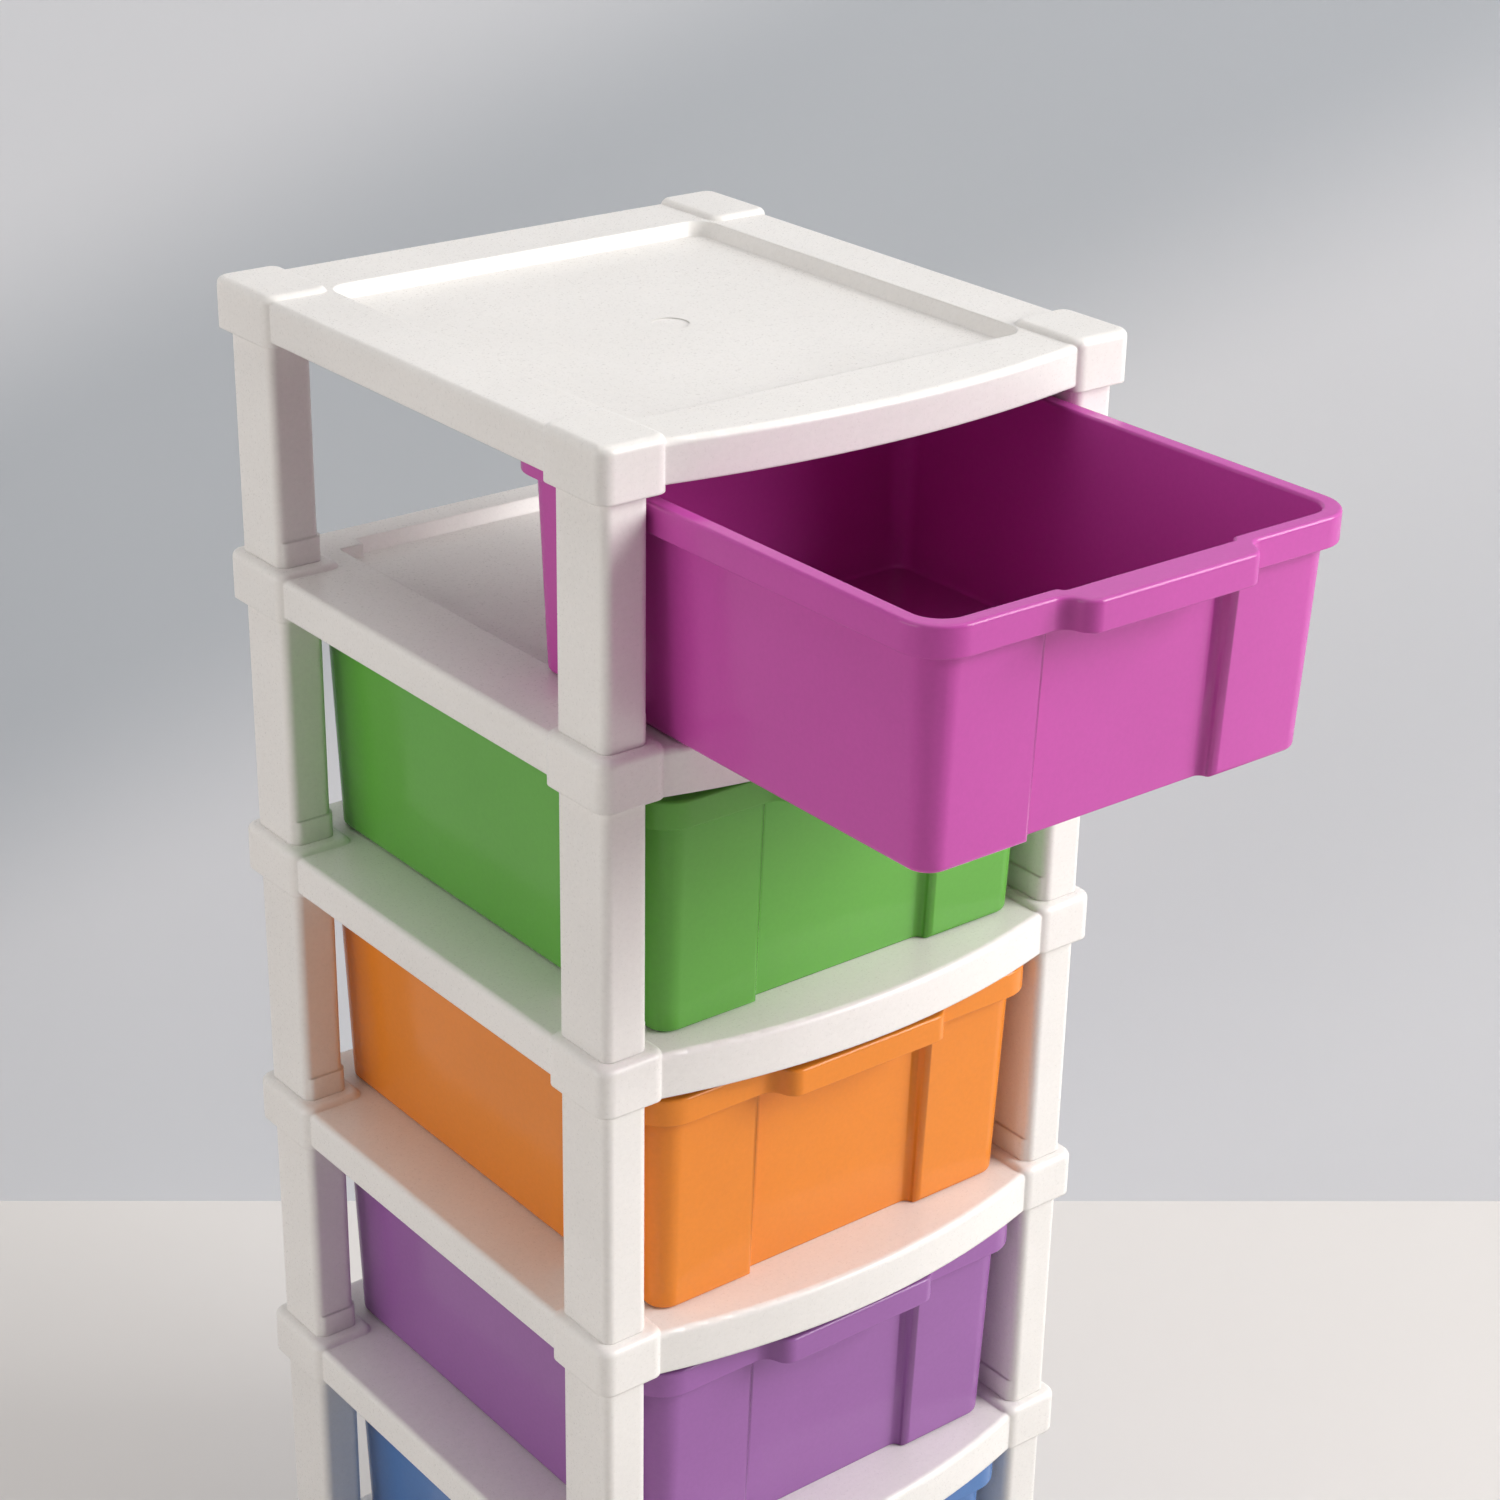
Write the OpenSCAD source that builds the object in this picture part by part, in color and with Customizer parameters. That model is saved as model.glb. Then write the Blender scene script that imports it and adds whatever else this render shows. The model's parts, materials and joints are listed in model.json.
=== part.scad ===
// Plastic drawer tower: moulded trays with corner collars, plug-in posts,
// and tapered bins that slide forward on the trays.
// Millimetres, +Z up. The origin is on the floor, under the middle of the
// outline with the top drawer where it rests. The front faces -Y.

/* [Tower] */
// Width over the corner collars
tower_w = 300; // [280:1:360]
// Depth over the corner collars
tower_d = 320; // [300:1:400]
// Rise from one shelf to the next in the lower tiers
tier_pitch = 150.5; // [130:0.5:190]
// Rise of the top tier
top_pitch = 139; // [120:0.5:190]
// How far the top drawer is pulled out
top_pull = 172; // [0:1:190]

/* [Corner collars] */
// Height of a collar
collar_h = 25; // [25:0.5:32]
// Length of a collar along the front and the back
collar_w = 36; // [33:0.5:42]
// Length of a front collar along the side
collar_front = 46; // [44:0.5:56]
// Length of a rear collar along the side
collar_rear = 52; // [44:0.5:60]
// Radius of a collar's upright edges
collar_r = 7; // [4.5:0.5:9]
// Radius of a collar's top edges
collar_edge = 4; // [1:0.5:4.5]
// How far a collar stands proud of the rim and of the rails
collar_proud = 2.5; // [1:0.25:4]
// How far a collar reaches below the side and rear rails
collar_drop = 3; // [1:0.5:5]
// Depth of a post socket in a collar
socket_depth = 11; // [6:0.5:12]

/* [Trays] */
// Wall of the tray mouldings
tray_wall = 2.6; // [2:0.1:3.5]
// Radius of a rail's top edge
rail_edge = 3; // [1:0.25:4]
// How far the front rail of a shelf bows out
shelf_bow = 17; // [4:1:22]
// How far the front rail of the top tray bows out
top_bow = 13; // [4:1:22]
// How far the front rail of a shelf ends above the collars' underside
shelf_lift = 0; // [0:0.5:4]
// How far the front rail of the top tray ends above the collars' underside
top_lift = 3; // [0:0.5:4]
// Depth of a tray's recess
recess_depth = 7; // [4:0.5:8]
// How far a recess wall leans over its depth
recess_lean = 4; // [1:0.5:6]
// Corner radius on the floor of a recess
recess_r = 8; // [4:0.5:14]
// Rim beside the recess of a shelf
shelf_side = 47; // [46:0.5:60]
// Landing in front of the recess of a shelf
shelf_front = 98; // [50:1:120]
// Rim behind the recess of a shelf
shelf_back = 21; // [14:0.5:40]
// Rim beside the recess of the top tray
top_side = 37; // [37:0.5:60]
// Rim in front of the recess of the top tray
top_front = 31; // [20:1:80]
// Rim behind the recess of the top tray
top_back = 42; // [20:1:60]
// Height of the ribs under a tray
rib_h = 9; // [4:0.5:12]
// Thickness of the ribs under a tray
rib_t = 2; // [1.2:0.1:3]

/* [Posts] */
// Width of a post, along the front
post_w = 23.5; // [20:0.5:24]
// Depth of a post, along the side
post_d = 37.5; // [30:0.5:38]
// Radius of a post's upright edges
post_r = 4.5; // [3.5:0.5:8]
// Wall of a post
post_wall = 3; // [2.4:0.1:4]
// Collar left outside a post
post_margin = 5.25; // [4:0.25:7]
// Length of the spigot at each end of a post
spigot_len = 10.5; // [5:0.5:11.5]
// How far a spigot is set in from the post's faces
spigot_step = 1.2; // [0.8:0.1:1.8]
// Clearance round a spigot in its socket
spigot_fit = 0.15; // [0.05:0.05:0.4]
// Height of the heel at the foot of a post
heel_h = 13; // [6:0.5:20]
// How far a heel stands proud towards the drawers
heel_out = 1; // [0.5:0.25:1.5]

/* [Drawers] */
// Gap between a drawer's rim and the posts
rim_gap = 2.25; // [1.5:0.25:5]
// How far a closed drawer's rim sits behind the collars' front
rim_set = 3; // [0:0.5:20]
// Space behind a closed drawer's rim
rim_rear = 13; // [10:1:60]
// Space behind the rim of the top drawer, which is less deep
top_rim_rear = 30; // [10:1:60]
// Depth of the rim's skirt
rim_skirt = 14; // [8:0.5:18]
// Thickness of the rim
rim_t = 2.4; // [1.6:0.1:3]
// How far the rim overhangs the body
rim_over = 6; // [5:0.5:9]
// Corner radius of the rim
rim_r = 20; // [16:0.5:30]
// Clear height above a rim, up to the top of the tray overhead
headroom = 31; // [29:0.5:50]
// Wall of a drawer's body
tub_wall = 2.2; // [1.6:0.1:3]
// Floor of a drawer
tub_floor = 2.4; // [1.6:0.1:3.5]
// How far a body's walls lean out from floor to rim
tub_lean = 4.5; // [1:0.5:5]
// Upright corner radius of a body at its floor
tub_r = 11; // [8:0.5:18]
// Radius of a body's bottom edge
tub_edge = 3; // [2.5:0.25:3.5]
// Clearance under a drawer
run_gap = 0.3; // [0.2:0.05:0.6]
// How far a drawer travels from closed to open
travel = 200; // [150:5:200]
// Half width of the sunk panel in a drawer's front
panel_half = 56; // [40:1:70]
// Radius of the curves that lead into the sunk panel
panel_r = 4.5; // [2.5:0.25:5.5]

/* [Handle] */
// Half width of the handle swell in the rim
grip_half = 57; // [45:1:75]
// Radius of the curves at the ends of the handle swell
grip_r = 8.25; // [4:0.25:9.5]
// Half width of the step in the rim's inner edge
lip_half = 50; // [35:1:60]
// Radius of the curves that lead into the step
lip_r = 2; // [1:0.25:2]

/* [Feet] */
// Height of a foot below its collar
foot_h = 14; // [8:0.5:30]
// How far a foot's pad spreads past the post
foot_spread = 2; // [0:0.25:3]
// Height of a foot's pad
foot_pad = 4; // [2:0.5:6]

/* [Hidden] */

$fn = 64;
tiers = 5;
// Flats in the round of a drawer's bottom edge
edge_flats = 5;
// Small overshoot of a cut past the face that it opens
over = 1;

// Corners: name, side along X, side along Y
corners = [["front_left", -1, -1], ["front_right", 1, -1], ["rear_left", -1, 1], ["rear_right", 1, 1]];

// Colours of the mouldings, and of the drawers from the top down
shell_white = [0.91, 0.89, 0.86];
drawer_colours = [
    [0.73, 0.25, 0.62], [0.34, 0.62, 0.24], [0.93, 0.47, 0.14], [0.50, 0.28, 0.64], [0.20, 0.42, 0.70]
];

// How far the bow of a front rail runs into the collars
bow_lap = 6;

// Trays, in their own height: 0 is the underside of the collars
rail_x = tower_w / 2 - collar_proud;
rail_y = tower_d / 2 - collar_proud;
rim_z = collar_h - collar_proud;
rail_h = rim_z - collar_drop;
bow_half = tower_w / 2 - collar_w + bow_lap;
deck_z = rim_z - tray_wall;
// Raised corners of the rim behind a shelf's recess
tab_x = 13;
tab_y = 8;

// Places of the posts
post_x = tower_w / 2 - post_margin - post_w / 2;
post_y = tower_d / 2 - post_margin - post_d / 2;
post_inner = post_x - post_w / 2;

// Drawers, at their closed place, with their underside at 0
rim_half = post_inner - rim_gap;
rim_front = -tower_d / 2 + rim_set;
tub_front = rim_front + rim_over + tub_lean;
tub_w = 2 * (rim_half - rim_over - tub_lean);

// The pull of the top drawer at rest, and the middle of the outline with it
rest_pull = min(top_pull, travel);
front_y = min(rim_front - swell_out(grip_r) - rest_pull, -rail_y - shelf_bow);
mid_y = (front_y + tower_d / 2) / 2;

// The stop that hangs behind a drawer's rim
stop_w = 40;
stop_t = 3;
stop_gap = 0.5;
stop_lap = 4;

// Low guides behind the front posts
guide_len = 28;
guide_h = 10;
guide_t = 3;

// Inner rail under the sides of the top tray
bead_x = 130;
bead_t = 3;
bead_drop = 3.5;
bead_end = 60;

// Mark of the moulding gate in the middle of a tray
gate_r = 9;
gate_deep = 0.4;

// ------------------------------------------------------ heights and depths

// Back of drawer i's rim, and the middle and depth of a drawer that ends there
function rim_back(i) = tower_d / 2 - (i == 1 ? top_rim_rear : rim_rear);
function rim_mid(back) = (rim_front + back) / 2;
function tub_d(back) = back - rim_front - 2 * (rim_over + tub_lean);

// Underside of the collars of shelf i, where 0 is the top tray
function tray_z(i) = foot_h + (i == 0 ? top_pitch + (tiers - 1) * tier_pitch : (tiers - i) * tier_pitch);
function rise(i) = i == 1 ? top_pitch : tier_pitch;
function post_h(i) = rise(i) - collar_h;
function drawer_h(i) = rise(i) + collar_proud - run_gap - headroom;
function drawer_z(i) = tray_z(i) + rim_z + run_gap;

function micron(x) = round(1000 * x) / 1000;

// ----------------------------------------------------------------- shapes

// Quarter of a disc, towards +X and +Y
module quarter(r) {
    intersection() {
        circle(r = r);
        square(r);
    }
}

// Rectangle with round corners, centred
module rounded_rect(w, d, r) {
    square([w - 2 * r, d], center = true);
    square([w, d - 2 * r], center = true);
    for (x = [0, 1], y = [0, 1])
        mirror([x, 0])
            mirror([0, y])
                translate([w / 2 - r, d / 2 - r])
                    quarter(r);
}

// Half section of a block with a rounded top edge
module shoulder(reach, h, e) {
    square([reach, h - e]);
    square([reach - e, h]);
    translate([reach - e, h - e])
        quarter(e);
}

// Half section of a leaning wall, whose bottom edge is rounded in flats. Its
// points are kept to whole microns, so that the corners and sides agree.
module leaning_half(reach, h, lean, e) {
    slope = atan(lean / h);
    foot = e * tan(slope) - e / cos(slope);
    bend = (90 - slope) / edge_flats;
    polygon(concat(
        [[0, 0]],
        [for (i = [0:edge_flats]) [reach + micron(foot + e * sin(i * bend)), micron(e - e * cos(i * bend))]],
        [[reach + micron(lean), h], [0, h]]
    ));
}

// Runs a half section round a rounded rectangle: child 0 is the corner's
// section, child 1 the section across the width, child 2 across the depth
module swept_block(w, d, r) {
    for (q = [0:3])
        translate([(q == 0 || q == 3 ? 1 : -1) * (w / 2 - r), (q < 2 ? 1 : -1) * (d / 2 - r), 0])
            rotate([0, 0, 90 * q])
                rotate_extrude(angle = 90)
                    children(0);
    rotate([90, 0, 0])
        linear_extrude(height = d - 2 * r, center = true)
            for (m = [0, 1])
                mirror([m, 0])
                    children(1);
    rotate([90, 0, 90])
        linear_extrude(height = w - 2 * r, center = true)
            for (m = [0, 1])
                mirror([m, 0])
                    children(2);
}

// Block with round upright edges and round top edges
module soft_block(w, d, h, r, e) {
    swept_block(w, d, r) {
        shoulder(r, h, e);
        shoulder(w / 2, h, e);
        shoulder(d / 2, h, e);
    }
}

// Open box shape whose walls lean out from its floor
module leaning_block(w, d, h, r, lean, e) {
    swept_block(w, d, r) {
        leaning_half(r, h, lean, e);
        leaning_half(w / 2, h, lean, e);
        leaning_half(d / 2, h, lean, e);
    }
}

// Shallow tapered pocket with sharp floor edges
module tapered_block(w, d, h, r, lean) {
    for (x = [-1, 1], y = [-1, 1])
        translate([x * (w / 2 - r), y * (d / 2 - r), 0])
            cylinder(h = h, r1 = r, r2 = r + lean);
    rotate([90, 0, 0])
        linear_extrude(height = d - 2 * r, center = true)
            polygon([[-w / 2, 0], [w / 2, 0], [w / 2 + lean, h], [-w / 2 - lean, h]]);
    rotate([90, 0, 90])
        linear_extrude(height = w - 2 * r, center = true)
            polygon([[-d / 2, 0], [d / 2, 0], [d / 2 + lean, h], [-d / 2 - lean, h]]);
}

// Swell on the line y = 0 that points to +Y, with an S curve at each end:
// a round shoulder, then a hollow that runs out on the line. The curves turn
// by the large angle of the 7-24-25 triangle, which keeps their ends exact.
function swell_out(r) = 1.44 * r;
function swell_crest(half, r) = half - 1.92 * r;

module swell(half, r, grow = 0) {
    out = swell_out(r);
    crest = swell_crest(half, r);
    translate([-crest, -r])
        square([2 * crest, r + out + grow]);
    for (m = [0, 1])
        mirror([m, 0]) {
            translate([crest, out - r])
                circle(r = r + grow);
            difference() {
                polygon([[crest, out - r], [crest, -r], [half, -r], [half, r]]);
                translate([half, r])
                    circle(r = r - grow);
            }
        }
}

// The same outline in flats, for a swell that leans
module flat_swell(half, r, grow) {
    out = swell_out(r);
    crest = swell_crest(half, r);
    turn = acos(0.28);
    n = 5;
    side = concat(
        [for (i = [0:n]) [crest + (r + grow) * sin(i * turn / n), out - r + (r + grow) * cos(i * turn / n)]],
        [for (i = [n - 1:-1:1]) [half - (r - grow) * sin(i * turn / n), r - (r - grow) * cos(i * turn / n)]]
    );
    polygon(concat(
        [[half, grow - 0.1], [half, -r], [-half, -r], [-half, grow - 0.1]],
        [for (i = [len(side) - 1:-1:0]) [-side[i][0], side[i][1]]],
        side
    ));
}

// ------------------------------------------------------------------ trays

function bow_r(bow) = (bow_half * bow_half + bow * bow) / (2 * bow);
function bow_y(bow) = -rail_y - bow + bow_r(bow);

// Solid form of the rails, with the bowed front down to its own underside
module rail_form(bow, lift) {
    reach = 30;
    half_angle = asin(bow_half / bow_r(bow));
    translate([0, 0, collar_drop])
        soft_block(2 * rail_x, 2 * rail_y, rail_h, collar_r, rail_edge);
    translate([0, bow_y(bow), lift])
        rotate([0, 0, -90 - half_angle])
            rotate_extrude(angle = 2 * half_angle, $fn = 256)
                translate([bow_r(bow) - reach, 0])
                    shoulder(reach, rim_z - lift, rail_edge);
}

// Space under the deck, inside the rails
module under_form(bow) {
    linear_extrude(height = deck_z)
        union() {
            rounded_rect(2 * (rail_x - tray_wall), 2 * (rail_y - tray_wall), collar_r - tray_wall);
            intersection() {
                translate([0, bow_y(bow)])
                    circle(r = bow_r(bow) - tray_wall, $fn = 256);
                translate([-bow_half, -rail_y - bow])
                    square([2 * bow_half, bow + tray_wall + over]);
            }
        }
}

// A recess pocket, or the pan that holds it when wall is set
module recess_form(side, front, back, wall) {
    slope = recess_lean / recess_depth;
    floor_w = tower_w - 2 * side - 2 * recess_lean;
    floor_d = tower_d - front - back - 2 * recess_lean;
    h = wall > 0 ? recess_depth + wall - over : recess_depth + over;
    translate([0, (front - back) / 2, rim_z - recess_depth - wall])
        tapered_block(floor_w + 2 * wall, floor_d + 2 * wall, h, recess_r + wall, slope * h);
}

// Ribs across the underside
module under_ribs() {
    rib_z = collar_drop + rail_h - recess_depth - tray_wall - rib_h;
    rib_top = deck_z + over - rib_z;
    inner_x = 2 * (rail_x - over);
    inner_y = 2 * (rail_y - over);
    for (x = [-1, 0, 1])
        translate([x * tower_w / 5 - rib_t / 2, -inner_y / 2, rib_z])
            cube([rib_t, inner_y, rib_top]);
    for (y = [-1, 1])
        translate([-inner_x / 2, y * tower_d / 6 - rib_t / 2, rib_z])
            cube([inner_x, rib_t, rib_top]);
}

// Collar blocks at the four corners
module collars() {
    for (c = corners) {
        len = c[2] < 0 ? collar_front : collar_rear;
        translate([c[1] * (tower_w - collar_w) / 2, c[2] * (tower_d - len) / 2, 0])
            soft_block(collar_w, len, collar_h, collar_r, collar_edge);
    }
}

// Post sockets, cut from the top or from the underside of the collars
module sockets(top) {
    for (c = corners)
        translate([c[1] * post_x, c[2] * post_y, top ? collar_h - socket_depth : -over])
            linear_extrude(height = socket_depth + over)
                post_section(spigot_step - spigot_fit);
}

// Tab under the deck that stops drawer i, the one below, at its rim
module rear_stop(i) {
    low = collar_h - headroom - stop_lap;
    translate([-stop_w / 2, rim_back(i) + stop_gap, low])
        cube([stop_w, stop_t, deck_z + over - low]);
}

module tray(bow, lift, side, front, back, posts_above, drawer_below) {
    difference() {
        union() {
            difference() {
                rail_form(bow, lift);
                under_form(bow);
            }
            recess_form(side, front, back, tray_wall);
            under_ribs();
            collars();
            if (drawer_below > 0)
                rear_stop(drawer_below);
        }
        recess_form(side, front, back, 0);
        sockets(false);
        if (posts_above)
            sockets(true);
    }
}

// Low guides on a shelf, behind the front posts
module guides() {
    for (x = [-1, 1])
        translate([x * (post_inner - guide_t / 2 - heel_out), -post_y + post_d / 2 + heel_out + guide_len / 2, rim_z - over])
            linear_extrude(height = guide_h + over)
                rounded_rect(guide_t, guide_len, guide_t / 2 - 0.1);
}

// Raised rear corners beside a shelf's recess
module corner_tabs() {
    for (x = [-1, 1])
        translate([x * (tower_w / 2 - shelf_side - tab_x / 2), rail_y - shelf_back - tab_y / 2 + collar_proud, 0])
            translate([-tab_x / 2 - over, -tab_y / 2, rim_z - recess_depth - over])
                cube([tab_x + 2 * over, tab_y + over, recess_depth + over]);
}

module shelf(i) {
    color(shell_white)
        translate([0, 0, tray_z(i)]) {
            tray(shelf_bow, shelf_lift, shelf_side, shelf_front, shelf_back, true, i < tiers ? i + 1 : 0);
            guides();
            corner_tabs();
        }
}

// Beads inside the side rails of the top tray
module side_beads() {
    for (x = [-1, 1])
        translate([x * bead_x - bead_t / 2, -tower_d / 2 + bead_end, collar_drop - bead_drop])
            cube([bead_t, tower_d - 2 * bead_end, deck_z + bead_drop - collar_drop + over]);
}

module top_tray() {
    color(shell_white)
        translate([0, 0, tray_z(0)]) {
            difference() {
                tray(top_bow, top_lift, top_side, top_front, top_back, false, 1);
                translate([0, (top_front - top_back) / 2, rim_z - recess_depth - gate_deep])
                    cylinder(h = gate_deep + over, r = gate_r);
            }
            side_beads();
        }
}

// ------------------------------------------------------------------ posts

module post_section(inset) {
    rounded_rect(post_w - 2 * inset, post_d - 2 * inset, post_r - inset);
}

module post(i, c) {
    h = post_h(i);
    color(shell_white)
        translate([c[1] * post_x, c[2] * post_y, tray_z(i) + collar_h])
            difference() {
                union() {
                    linear_extrude(height = h)
                        post_section(0);
                    translate([0, 0, -spigot_len])
                        linear_extrude(height = h + 2 * spigot_len)
                            post_section(spigot_step);
                    translate([-c[1] * heel_out, -c[2] * heel_out, 0])
                        linear_extrude(height = heel_h)
                            post_section(0);
                }
                translate([0, 0, -spigot_len - over])
                    linear_extrude(height = h + 2 * (spigot_len + over))
                        post_section(post_wall);
            }
}

// ---------------------------------------------------------------- drawers

// Outline of the rim with its handle swell
module rim_outline(back, inset) {
    translate([0, rim_mid(back)])
        rounded_rect(2 * (rim_half - inset), back - rim_front - 2 * inset, rim_r - inset);
    translate([0, rim_front])
        mirror([0, 1])
            swell(grip_half, grip_r, -inset);
}

module tub_outer(back, h) {
    translate([0, rim_mid(back), 0])
        leaning_block(tub_w, tub_d(back), h, tub_r, tub_lean, tub_edge);
}

module tub_cavity(back, h) {
    slope = tub_lean / h;
    shrink = 2 * micron(tub_wall - slope * tub_floor);
    deep = h + over - tub_floor;
    translate([0, rim_mid(back), tub_floor])
        leaning_block(tub_w - shrink, tub_d(back) - shrink, deep, tub_r - tub_wall, slope * deep, tub_edge - tub_wall / 2);
}

// Column of the sunk panel, parallel to the leaning front wall
module panel_column(h, grow) {
    top = h - rim_skirt - 1 + grow;
    translate([0, tub_front, 0])
        rotate([atan(tub_lean / h), 0, 0])
            translate([0, 0, -over])
                linear_extrude(height = top + over)
                    flat_swell(panel_half, panel_r, grow);
}

// Step in the front edge of the opening, under the handle
module lip_step(top, low, half, r) {
    translate([0, tub_front - tub_lean + 0.85 * tub_wall, low])
        mirror([0, 1, 0])
            linear_extrude(height = top - low)
                swell(half, r);
}

module drawer_body(back, h) {
    lip_z = h - rim_skirt;
    difference() {
        union() {
            tub_outer(back, h);
            translate([0, 0, h - rim_t])
                linear_extrude(height = rim_t)
                    rim_outline(back, 0);
            translate([0, 0, lip_z])
                linear_extrude(height = rim_skirt)
                    difference() {
                        rim_outline(back, 0);
                        rim_outline(back, rim_t);
                    }
            lip_step(h, lip_z, lip_half + tub_wall, lip_r + 1.5);
        }
        difference() {
            tub_cavity(back, h);
            panel_column(h, tub_wall);
        }
        panel_column(h, 0);
        lip_step(h + over, lip_z + tub_wall, lip_half, lip_r);
    }
}

module drawer(i) {
    pull = i == 1 ? rest_pull : 0;
    color(drawer_colours[i - 1])
        translate([0, -pull, drawer_z(i)])
            drawer_body(rim_back(i), drawer_h(i));
}

// ------------------------------------------------------------------- feet

module foot(c) {
    color(shell_white)
        translate([c[1] * post_x, c[2] * post_y, 0]) {
            linear_extrude(height = foot_h)
                post_section(0);
            linear_extrude(height = foot_pad)
                post_section(-foot_spread);
            linear_extrude(height = foot_h + spigot_len)
                post_section(spigot_step);
        }
}

// ------------------------------------------------------------------ nodes

// From the middle between the collars to the part's origin
module placed() {
    translate([0, -mid_y, 0])
        children();
}

placed() top_tray();
for (i = [1:tiers])
    placed() shelf(i);
for (i = [1:tiers], c = corners)
    placed() post(i, c);
for (i = [1:tiers])
    placed() drawer(i);
for (c = corners)
    placed() foot(c);
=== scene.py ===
"""Looks, light and camera for the plastic drawer tower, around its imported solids."""

import json
import math

import bmesh
import bpy
from mathutils import Matrix, Vector

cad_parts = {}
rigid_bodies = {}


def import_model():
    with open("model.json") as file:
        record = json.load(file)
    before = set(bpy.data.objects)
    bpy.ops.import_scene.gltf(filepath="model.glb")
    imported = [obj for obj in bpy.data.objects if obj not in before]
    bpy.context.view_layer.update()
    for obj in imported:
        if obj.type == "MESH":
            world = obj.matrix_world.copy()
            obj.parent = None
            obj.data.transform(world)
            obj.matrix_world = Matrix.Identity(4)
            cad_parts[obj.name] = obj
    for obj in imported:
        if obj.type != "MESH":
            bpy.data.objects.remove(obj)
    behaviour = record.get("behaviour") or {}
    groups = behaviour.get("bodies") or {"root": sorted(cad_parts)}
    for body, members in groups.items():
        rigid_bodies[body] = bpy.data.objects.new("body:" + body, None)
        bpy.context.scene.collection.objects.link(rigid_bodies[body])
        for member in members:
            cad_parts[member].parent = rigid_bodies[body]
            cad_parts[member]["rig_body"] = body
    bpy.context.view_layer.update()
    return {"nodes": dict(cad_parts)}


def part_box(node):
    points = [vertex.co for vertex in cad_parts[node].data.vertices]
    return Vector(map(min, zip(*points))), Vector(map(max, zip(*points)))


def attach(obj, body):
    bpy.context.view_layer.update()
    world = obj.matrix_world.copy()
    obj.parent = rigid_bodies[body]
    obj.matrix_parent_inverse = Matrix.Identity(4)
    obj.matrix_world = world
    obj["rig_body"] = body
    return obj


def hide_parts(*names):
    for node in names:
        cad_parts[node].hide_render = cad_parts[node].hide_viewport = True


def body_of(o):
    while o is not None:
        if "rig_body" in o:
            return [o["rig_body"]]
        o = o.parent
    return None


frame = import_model()

MM = 0.001
TIERS = range(1, 6)
CORNERS = ("front_left", "front_right", "rear_left", "rear_right")
TRAYS = ["top_tray"] + [f"shelf_{tier}" for tier in TIERS]
POSTS = [f"post_{tier}_{corner}" for tier in TIERS for corner in CORNERS]
FEET = [f"foot_{corner}" for corner in CORNERS]

# The tower's middle on the floor, which the open drawer puts behind the origin
MIDDLE = (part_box("foot_front_left")[0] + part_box("foot_rear_right")[1]) / 2
MIDDLE.z = 0
TOWER_TOP = 0.780

# Colours as linear red, green and blue, and each drawer's slot in the record
SHELL_WHITE = (0.87, 0.845, 0.815)
DRAWERS = {
    "drawer_1": ("drawer_magenta", (0.56, 0.078, 0.40)),
    "drawer_2": ("drawer_green", (0.132, 0.42, 0.062)),
    "drawer_3": ("drawer_orange", (0.83, 0.255, 0.026)),
    "drawer_4": ("drawer_purple", (0.33, 0.128, 0.385)),
    "drawer_5": ("drawer_blue", (0.10, 0.22, 0.50)),
}


# ------------------------------------------------------------------ node trees


class Nodes:
    """A node tree that starts empty but for its output, with short calls to add nodes and links."""

    def __init__(self, tree, output):
        self.tree = tree
        self.tree.nodes.clear()
        self.output = self.add(output)

    def add(self, kind, **values):
        node = self.tree.nodes.new(kind)
        for key, value in values.items():
            setattr(node, key, value)
        return node

    def link(self, source, target):
        self.tree.links.new(source, target)

    def finish(self, shader):
        self.link(shader, self.output.inputs["Surface"])

    def object_place(self):
        return self.add("ShaderNodeTexCoord").outputs["Object"]

    def noise(self, vector, scale, detail=2.0, roughness=0.5):
        node = self.add("ShaderNodeTexNoise")
        node.inputs["Scale"].default_value = scale
        node.inputs["Detail"].default_value = detail
        node.inputs["Roughness"].default_value = roughness
        self.link(vector, node.inputs["Vector"])
        return node.outputs["Fac"]

    def spread(self, value, low, high, start=0.0, end=1.0):
        node = self.add("ShaderNodeMapRange")
        node.inputs["From Min"].default_value = start
        node.inputs["From Max"].default_value = end
        node.inputs["To Min"].default_value = low
        node.inputs["To Max"].default_value = high
        self.link(value, node.inputs["Value"])
        return node.outputs["Result"]

    def blend(self, factor, first, second):
        node = self.add("ShaderNodeMix", data_type="RGBA")
        self.link(factor, node.inputs["Factor"])
        node.inputs["A"].default_value = (*first, 1)
        node.inputs["B"].default_value = (*second, 1)
        return node.outputs["Result"]

    def combine(self, operation, first, second):
        node = self.add("ShaderNodeMath", operation=operation)
        self.link(first, node.inputs[0])
        self.link(second, node.inputs[1])
        return node.outputs["Value"]

    def mix_shaders(self, factor, first, second):
        node = self.add("ShaderNodeMixShader")
        self.link(factor, node.inputs["Fac"])
        self.link(first, node.inputs[1])
        self.link(second, node.inputs[2])
        return node.outputs["Shader"]

    def eased_edges(self, radius):
        node = self.add("ShaderNodeBevel", samples=4)
        node.inputs["Radius"].default_value = radius
        return node.outputs["Normal"]

    def bump(self, height, strength, distance, below=None):
        node = self.add("ShaderNodeBump")
        node.inputs["Strength"].default_value = strength
        node.inputs["Distance"].default_value = distance
        self.link(height, node.inputs["Height"])
        if below is not None:
            self.link(below, node.inputs["Normal"])
        return node.outputs["Normal"]

    def seen(self):
        """1 where the camera, a reflection or a clear material looks, 0 where light bounces."""
        rays = self.add("ShaderNodeLightPath").outputs
        looks = self.combine("MAXIMUM", rays["Is Camera Ray"], rays["Is Glossy Ray"])
        return self.combine("MAXIMUM", looks, rays["Is Transmission Ray"])


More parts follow.
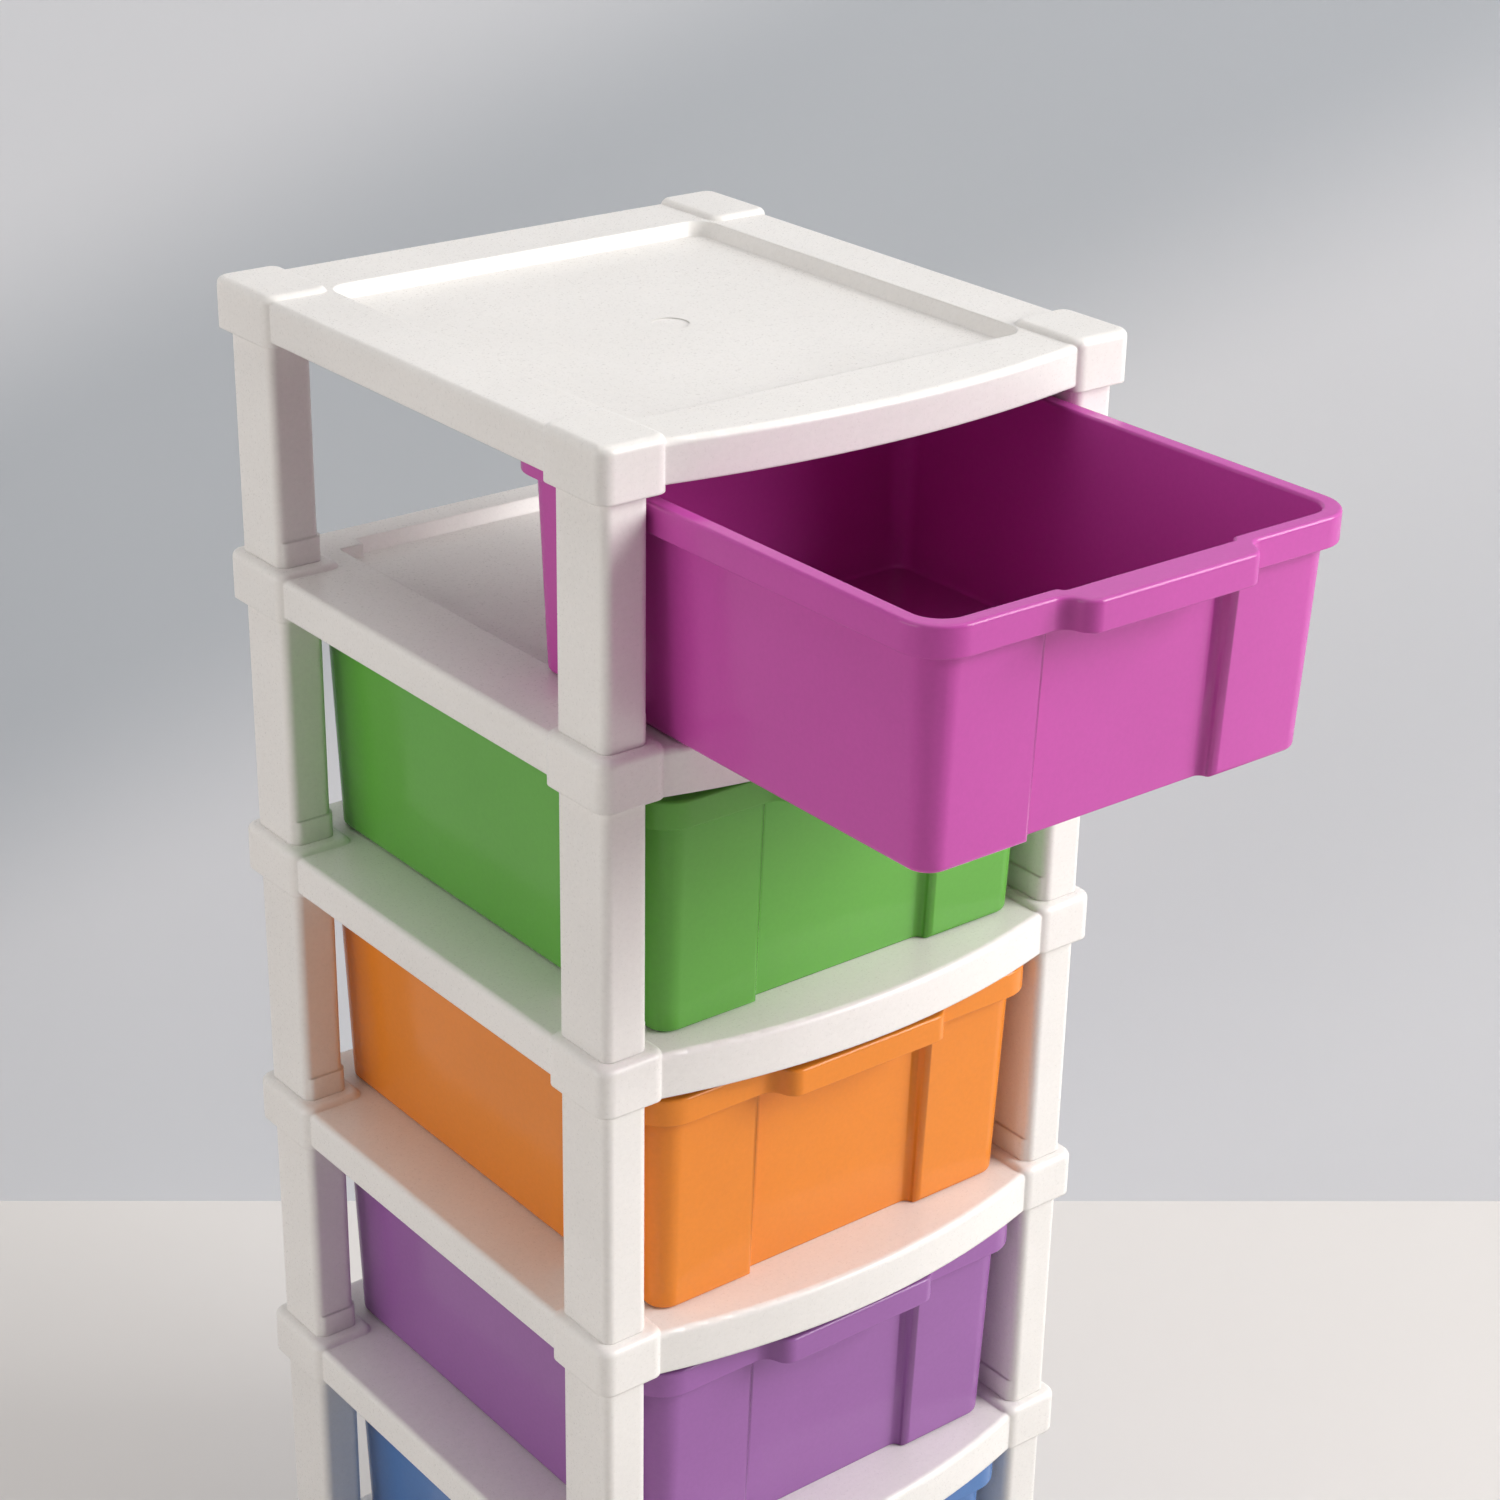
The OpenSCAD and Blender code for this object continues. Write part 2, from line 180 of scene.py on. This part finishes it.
def new_material(name):
    material = bpy.data.materials.new(name)
    material.use_nodes = True
    return material, Nodes(material.node_tree, "ShaderNodeOutputMaterial")


# -------------------------------------------------------------------- plastics

# Patterns in moulded plastic, as features per metre, and the part of its range that a noise fills
FLOW_CLOUDS, SINK_WAVES, MOTTLE, SPARK_GRAIN = 9.0, 22.0, 420.0, 900.0
NOISE_SPAN = (0.3, 0.7)
CLOUD_SHARE, MOTTLE_SHARE = 0.6, 0.4
DARKEST, LIGHTEST = 0.945, 1.05
WAVE_STRENGTH, WAVE_DEPTH, GRAIN_DEPTH = 0.12, 1.2 * MM, 0.12 * MM
PLASTIC_IOR = 1.49
WHITE_SCATTER, WHITE_SCATTER_DEPTH = (1.0, 0.9, 0.8), 4 * MM

SHELL_FINISH = {"rough": 0.3, "grain": 0.2, "edge": 1.4 * MM, "shine": 0.5, "subsurface": 0.08}
DRAWER_FINISH = {"rough": 0.14, "grain": 0.2, "edge": 0.8 * MM, "shine": 0.36}


def shade(colour, factor):
    return tuple(channel * factor for channel in colour)


def moulded_plastic(name, colour, rough, grain, edge, shine, subsurface=0.0):
    """Injection-moulded plastic: flow clouds, a fine mottle and spark grain, eased edges and a soft gloss."""
    material, n = new_material(name)
    where = n.object_place()
    shader = n.add("ShaderNodeBsdfPrincipled")
    clouds = n.spread(n.noise(where, FLOW_CLOUDS, 3.0), 0.0, CLOUD_SHARE, *NOISE_SPAN)
    mottle = n.spread(n.noise(where, MOTTLE, 2.0, 0.6), 0.0, MOTTLE_SHARE, *NOISE_SPAN)
    fine = n.noise(where, SPARK_GRAIN, 2.0, 0.6)
    sink = n.noise(where, SINK_WAVES, 1.0)
    tone = n.blend(n.combine("ADD", clouds, mottle), shade(colour, DARKEST), shade(colour, LIGHTEST))
    n.link(tone, shader.inputs["Base Color"])
    n.link(n.spread(fine, rough - 0.04, rough + 0.05, *NOISE_SPAN), shader.inputs["Roughness"])
    waves = n.bump(sink, WAVE_STRENGTH, WAVE_DEPTH, n.eased_edges(edge))
    n.link(n.bump(fine, grain, GRAIN_DEPTH, waves), shader.inputs["Normal"])
    shader.inputs["IOR"].default_value = PLASTIC_IOR
    shader.inputs["Specular IOR Level"].default_value = shine
    if subsurface:
        shader.inputs["Subsurface Weight"].default_value = subsurface
        shader.inputs["Subsurface Radius"].default_value = WHITE_SCATTER
        shader.inputs["Subsurface Scale"].default_value = WHITE_SCATTER_DEPTH
    n.finish(shader.outputs["BSDF"])
    return material


# --------------------------------------------------------------------- pieces

RIM_SKIRT = 14 * MM
RIM_TOP_EASE, SKIRT_EASE = 1.6 * MM, 0.6 * MM
MERGE, LEVEL_ENOUGH = 0.002 * MM, 0.02 * MM
FLAT_ENOUGH, EDGE_ANGLE, SMOOTH_BELOW = (math.radians(a) for a in (0.5, 50, 32))


def dress(obj, material):
    obj.data.materials.clear()
    obj.data.materials.append(material)


def ease(bm, edges, width):
    bmesh.ops.bevel(
        bm,
        geom=edges,
        offset=width,
        offset_type="OFFSET",
        affect="EDGES",
        segments=3,
        profile=0.5,
        material=-1,
        clamp_overlap=False,
    )


def eased_drawer(node, material):
    """A drawer with the sharp edges of its rim and skirt eased: a merged copy that stands for the node."""
    source = frame["nodes"][node]
    rim_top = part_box(node)[1].z
    bm = bmesh.new()
    bm.from_mesh(source.data)
    bmesh.ops.remove_doubles(bm, verts=bm.verts, dist=MERGE)
    bmesh.ops.dissolve_limit(bm, angle_limit=FLAT_ENOUGH, verts=bm.verts, edges=bm.edges)

    def lies_at(edge, height):
        return all(abs(vert.co.z - height) < LEVEL_ENOUGH for vert in edge.verts)

    sharp = [edge for edge in bm.edges if edge.is_convex and edge.calc_face_angle() > EDGE_ANGLE]
    for height, width in ((rim_top, RIM_TOP_EASE), (rim_top - RIM_SKIRT, SKIRT_EASE)):
        ease(bm, [edge for edge in sharp if edge.is_valid and lies_at(edge, height)], width)

    mesh = bpy.data.meshes.new(f"{node}_bin")
    bm.to_mesh(mesh)
    bm.free()
    mesh.shade_smooth()
    mesh.set_sharp_from_angle(angle=SMOOTH_BELOW)
    obj = bpy.data.objects.new(f"{node}_bin", mesh)
    bpy.context.collection.objects.link(obj)
    obj.data.materials.append(material)
    weights = obj.modifiers.new("flat_faces_stay_flat", "WEIGHTED_NORMAL")
    weights.keep_sharp = True
    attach(obj, body_of(source)[0])
    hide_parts(node)


white = moulded_plastic("shell_white", SHELL_WHITE, **SHELL_FINISH)
for node in TRAYS + POSTS + FEET:
    dress(frame["nodes"][node], white)
for node, (slot, colour) in DRAWERS.items():
    eased_drawer(node, moulded_plastic(f"{node}_plastic", colour, **DRAWER_FINISH))


# -------------------------------------------------------------- floor and wall

# Share of the floor's and wall's tone that the camera and reflections see as a painted glow
OWN_LIGHT = 0.4
FLOOR_HALF = 6.0
FLOOR_ACROSS = Vector((0.9178, 0.5635, 0))
WALL_MIDDLE = MIDDLE + Vector((0.3136, 0.3124, 0))
WALL_ALONG = Vector((0.8023, -0.5969, 0))
WALL_HALF, WALL_TOP = 2.2, 2.4
# Slant, fall and start of the painted shade band across the wall
BAND_SLANT, BAND_FALL, BAND_START = 0.727, -1.4, 1.546


def paint_with_shade_bands(name, light, dark, direction, offset, steps):
    """Matt studio paint with painted shade: its tone turns lighter and darker in broad bands along a
    direction, standing in for the fall of light; steps are (place, lightness).
    The camera and reflections see a share of the tone itself, OWN_LIGHT, as a painted glow, whatever light
    falls there."""
    material, n = new_material(name)
    where = n.object_place()
    along = n.add("ShaderNodeVectorMath", operation="DOT_PRODUCT")
    along.inputs[1].default_value = direction
    n.link(where, along.inputs[0])
    low, high = steps[0][0], steps[-1][0]
    ramp = n.add("ShaderNodeValToRGB")
    ramp.color_ramp.interpolation = "EASE"
    while len(ramp.color_ramp.elements) < len(steps):
        ramp.color_ramp.elements.new(0.5)
    for element, (position, lightness) in zip(ramp.color_ramp.elements, steps):
        element.position = (position - low) / (high - low)
        element.color = (lightness, lightness, lightness, 1)
    n.link(n.spread(along.outputs["Value"], 0.0, 1.0, low - offset, high - offset), ramp.inputs["Fac"])
    shader = n.add("ShaderNodeBsdfPrincipled")
    shader.inputs["Roughness"].default_value = 0.9
    shader.inputs["Specular IOR Level"].default_value = 0.1
    tone = n.blend(ramp.outputs["Color"], dark, light)
    n.link(tone, shader.inputs["Base Color"])
    n.link(n.bump(n.noise(where, 180.0, 2.0), 0.05, MM), shader.inputs["Normal"])
    glow = n.add("ShaderNodeEmission")
    n.link(tone, glow.inputs["Color"])
    share = n.spread(n.seen(), 0.0, OWN_LIGHT)
    return material, n, n.mix_shaders(share, shader.outputs["BSDF"], glow.outputs["Emission"])


def clear_from_behind(n, finish):
    """The finish, but the camera sees through its reverse side."""
    camera_ray = n.add("ShaderNodeLightPath").outputs["Is Camera Ray"]
    reverse = n.add("ShaderNodeNewGeometry").outputs["Backfacing"]
    clear = n.add("ShaderNodeBsdfTransparent").outputs["BSDF"]
    return n.mix_shaders(n.combine("MULTIPLY", camera_ray, reverse), finish, clear)


def plane(name, corners, material):
    mesh = bpy.data.meshes.new(name)
    bm = bmesh.new()
    bm.faces.new([bm.verts.new(corner) for corner in corners])
    bm.to_mesh(mesh)
    bm.free()
    obj = bpy.data.objects.new(name, mesh)
    bpy.context.collection.objects.link(obj)
    obj.data.materials.append(material)


# Painted shade: the floor's tone is darker to the left and front of the tower, lighter behind it and to the
# right
floor_paint_and_shade, n, finish = paint_with_shade_bands(
    "floor_paint_and_shade",
    light=(0.755, 0.727, 0.705),
    dark=(0.70, 0.672, 0.652),
    direction=FLOOR_ACROSS,
    offset=-MIDDLE.dot(FLOOR_ACROSS),
    steps=[(-0.05, 0.0), (0.14, 1.0)],
)
n.finish(finish)
square = ((-1, -1), (1, -1), (1, 1), (-1, 1))
plane("floor", [(FLOOR_HALF * x, FLOOR_HALF * y, 0) for x, y in square], floor_paint_and_shade)

# The wall stands behind the tower; its tone carries painted shade, a dark band running slantwise across it
# between lighter parts
wall_paint_and_shade, n, finish = paint_with_shade_bands(
    "wall_paint_and_shade",
    light=(0.72, 0.725, 0.752),
    dark=(0.478, 0.504, 0.538),
    direction=BAND_SLANT * WALL_ALONG + Vector((0, 0, BAND_FALL)),
    offset=BAND_START - BAND_SLANT * MIDDLE.dot(WALL_ALONG),
    steps=[(0.24, 0.93), (0.49, 0.05), (0.70, 0.03), (0.98, 0.82), (1.40, 0.68), (1.8, 0.9)],
)
n.finish(clear_from_behind(n, finish))
left, right = WALL_MIDDLE - WALL_ALONG * WALL_HALF, WALL_MIDDLE + WALL_ALONG * WALL_HALF
rise = Vector((0, 0, WALL_TOP))
plane("wall", [left, right, right + rise, left + rise], wall_paint_and_shade)


# ----------------------------------------------------------------------- light

# Name, place, aim, size in metres, power in watts and colour, from the tower's middle on the floor
NEUTRAL, WARM = (1, 0.99, 0.975), (1, 0.97, 0.945)
LAMPS = (
    ("key", (1.95, -2.1, 1.85), (0, 0, 0.4), (1.8, 1.8), 108, NEUTRAL),
    ("fill", (-2.8, -1.4, 1.6), (0, 0, 0.4), (3.0, 3.0), 9, WARM),
    ("side", (-3.0, 0.6, 1.0), (0, 0, 0.3), (2.6, 1.8), 34, WARM),
    ("top", (0.2, 0.3, 3.2), (0, 0, 0.4), (3.0, 3.0), 48, NEUTRAL),
)
AIR_LIGHT, AIR_STRENGTH = (1.0, 0.98, 0.96, 1), 0.03
AIR_SEEN = (0.6, 0.605, 0.61, 1)


def soft_lamp(name, place, aim, size, power, colour):
    data = bpy.data.lights.new(name, "AREA")
    data.shape = "RECTANGLE"
    data.size, data.size_y = size
    data.energy = power
    data.color = colour
    obj = bpy.data.objects.new(name, data)
    bpy.context.collection.objects.link(obj)
    obj.location = MIDDLE + Vector(place)
    obj.rotation_mode = "QUATERNION"
    obj.rotation_quaternion = (Vector(aim) - Vector(place)).to_track_quat("-Z", "Y")


def background(n, colour, strength):
    node = n.add("ShaderNodeBackground")
    node.inputs["Color"].default_value = colour
    node.inputs["Strength"].default_value = strength
    return node.outputs["Background"]


for lamp in LAMPS:
    soft_lamp(*lamp)

world = bpy.data.worlds.new("studio")
bpy.context.scene.world = world
world.use_nodes = True
n = Nodes(world.node_tree, "ShaderNodeOutputWorld")
faint, pale = background(n, AIR_LIGHT, AIR_STRENGTH), background(n, AIR_SEEN, 1.0)
n.finish(n.mix_shaders(n.seen(), faint, pale))


# --------------------------------------------------------------------- camera

FOCAL_PX, FRAME_PX, SENSOR = 3006.72, 1500, 36
AZIMUTH, ELEVATION, ROLL = (math.radians(a) for a in (-38.56, 24.39, 1.06))
DISTANCE, SHIFT_RIGHT, SHIFT_UP = 1.40657, 0.04069, -0.21024

back = Vector(
    (
        math.sin(AZIMUTH) * math.cos(ELEVATION),
        -math.cos(AZIMUTH) * math.cos(ELEVATION),
        math.sin(ELEVATION),
    )
)
level = (-back).cross(Vector((0, 0, 1))).normalized()
steep = level.cross(-back)
right = level * math.cos(ROLL) + steep * math.sin(ROLL)
up = steep * math.cos(ROLL) - level * math.sin(ROLL)

camera_data = bpy.data.cameras.new("camera")
camera_data.sensor_width = SENSOR
camera_data.lens = FOCAL_PX * SENSOR / FRAME_PX
camera_data.clip_start, camera_data.clip_end = 0.05, 40
camera = bpy.data.objects.new("camera", camera_data)
bpy.context.collection.objects.link(camera)
tower_top = MIDDLE + Vector((0, 0, TOWER_TOP))
place = tower_top + back * DISTANCE + right * SHIFT_RIGHT + up * SHIFT_UP
turn = Matrix((right, up, back)).transposed().to_4x4()
camera.matrix_world = Matrix.Translation(place) @ turn
bpy.context.scene.camera = camera
bpy.context.scene.view_settings.view_transform = "Standard"
